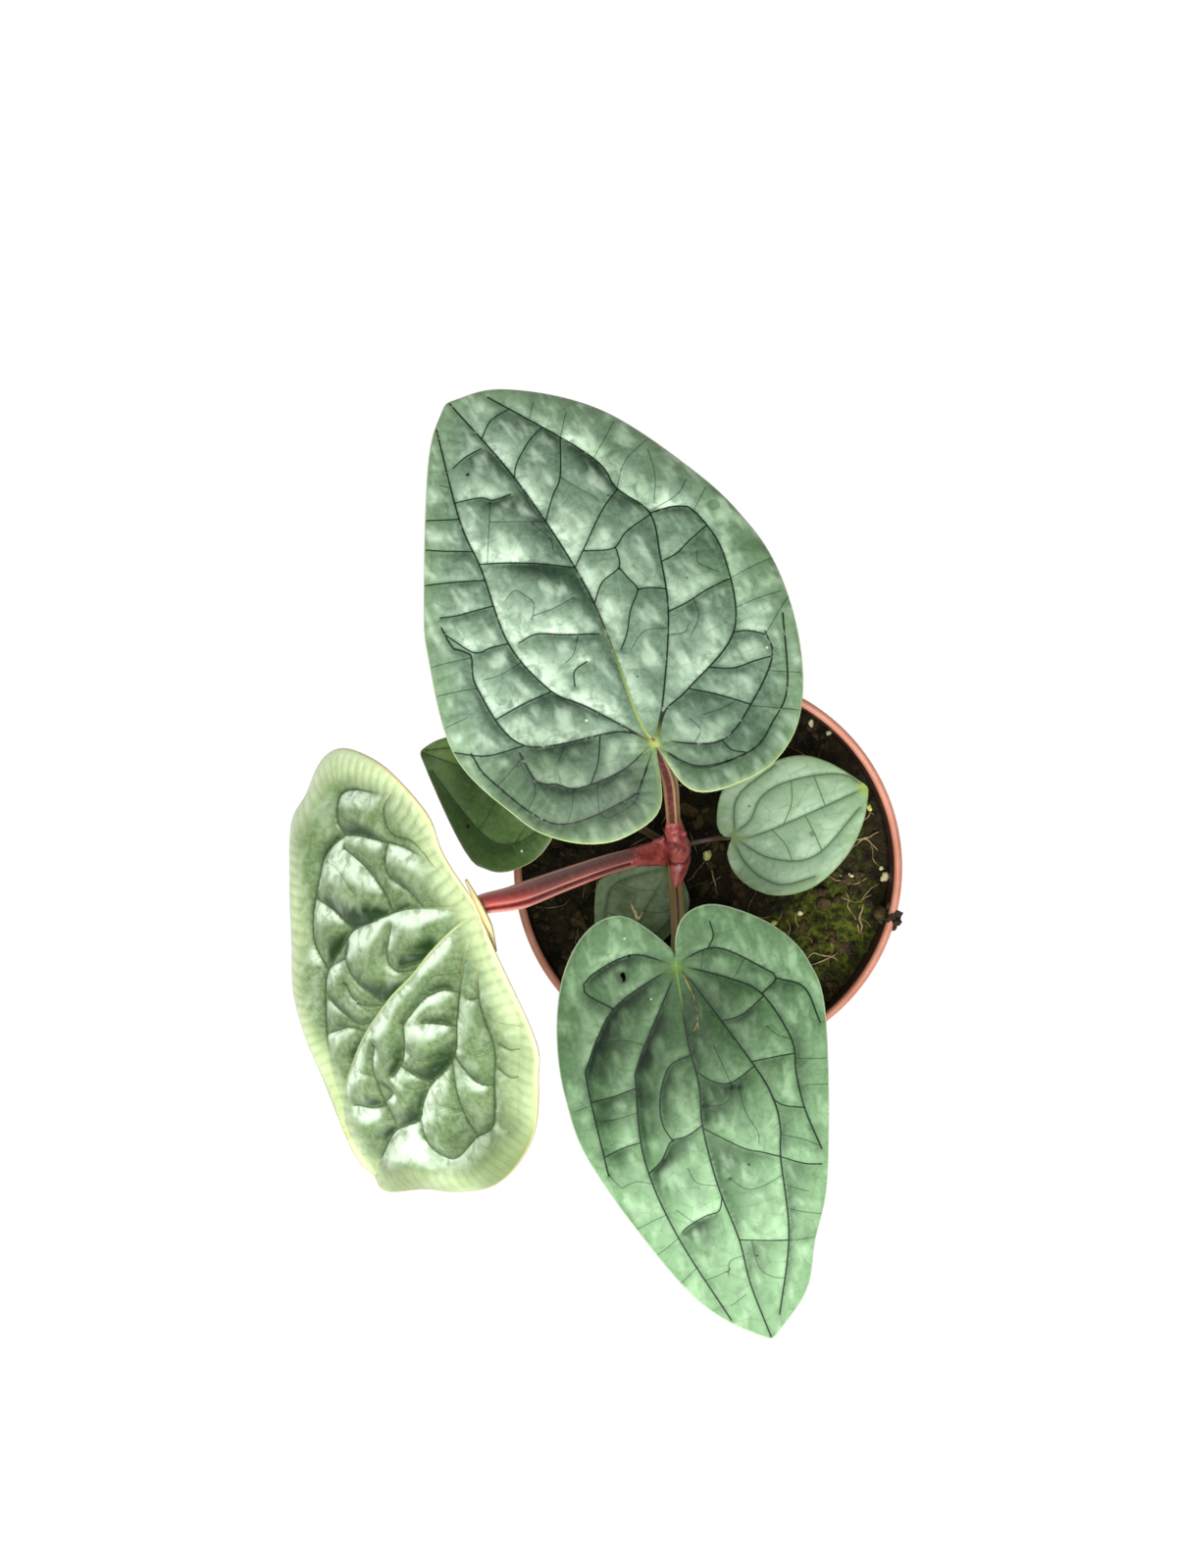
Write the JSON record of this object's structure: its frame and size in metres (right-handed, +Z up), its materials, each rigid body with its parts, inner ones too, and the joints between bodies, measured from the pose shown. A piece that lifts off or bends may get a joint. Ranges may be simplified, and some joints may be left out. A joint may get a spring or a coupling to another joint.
{
  "type": "potted anthurium",
  "caption": "Young anthurium with quilted silver-green heart-shaped leaves on red stalks, in a round terracotta-coloured nursery pot of soil.",
  "frame": {"origin": "centre of the pot's flat underside disc, on the surface it stands on", "axes": "+Z up along the pot's axis; +Y towards the largest leaf's side, along the plant's longest reach; +X to the right as seen from above with +Y away from the viewer"},
  "size_m": [0.1853, 0.2726, 0.168],
  "materials": {
    "pot": "satin terracotta-coloured moulded plastic",
    "soil": "crumbly dark peat with bark, moss and root fibres",
    "stem": "smooth satin red plant tissue",
    "petiole_red": "satin red-brown grooved leaf stalk",
    "petiole_olive": "satin olive-brown leaf stalk",
    "blade_silver": "satin silver-green leaf with dark sunken veins",
    "blade_yellow": "glossy yellow-green puckered leaf with a pale margin",
    "blade_light": "satin light green leaf with dark veins",
    "blade_pale": "matt pale green young leaf",
    "blade_dark": "glossy dark green leaf"
  },
  "bodies": {
    "root": {"pot": "pot", "soil": "soil", "stem": "stem", "petiole_top": "petiole_red", "petiole_left": "petiole_red", "petiole_bottom": "petiole_olive", "petiole_right": "petiole_olive", "petiole_centre": "petiole_olive", "petiole_dark": "petiole_olive", "blade_top": "blade_silver", "blade_left": "blade_yellow", "blade_bottom": "blade_light", "blade_right": "blade_pale", "blade_centre": "blade_light", "blade_dark": "blade_dark"}
  },
  "joints": []
}
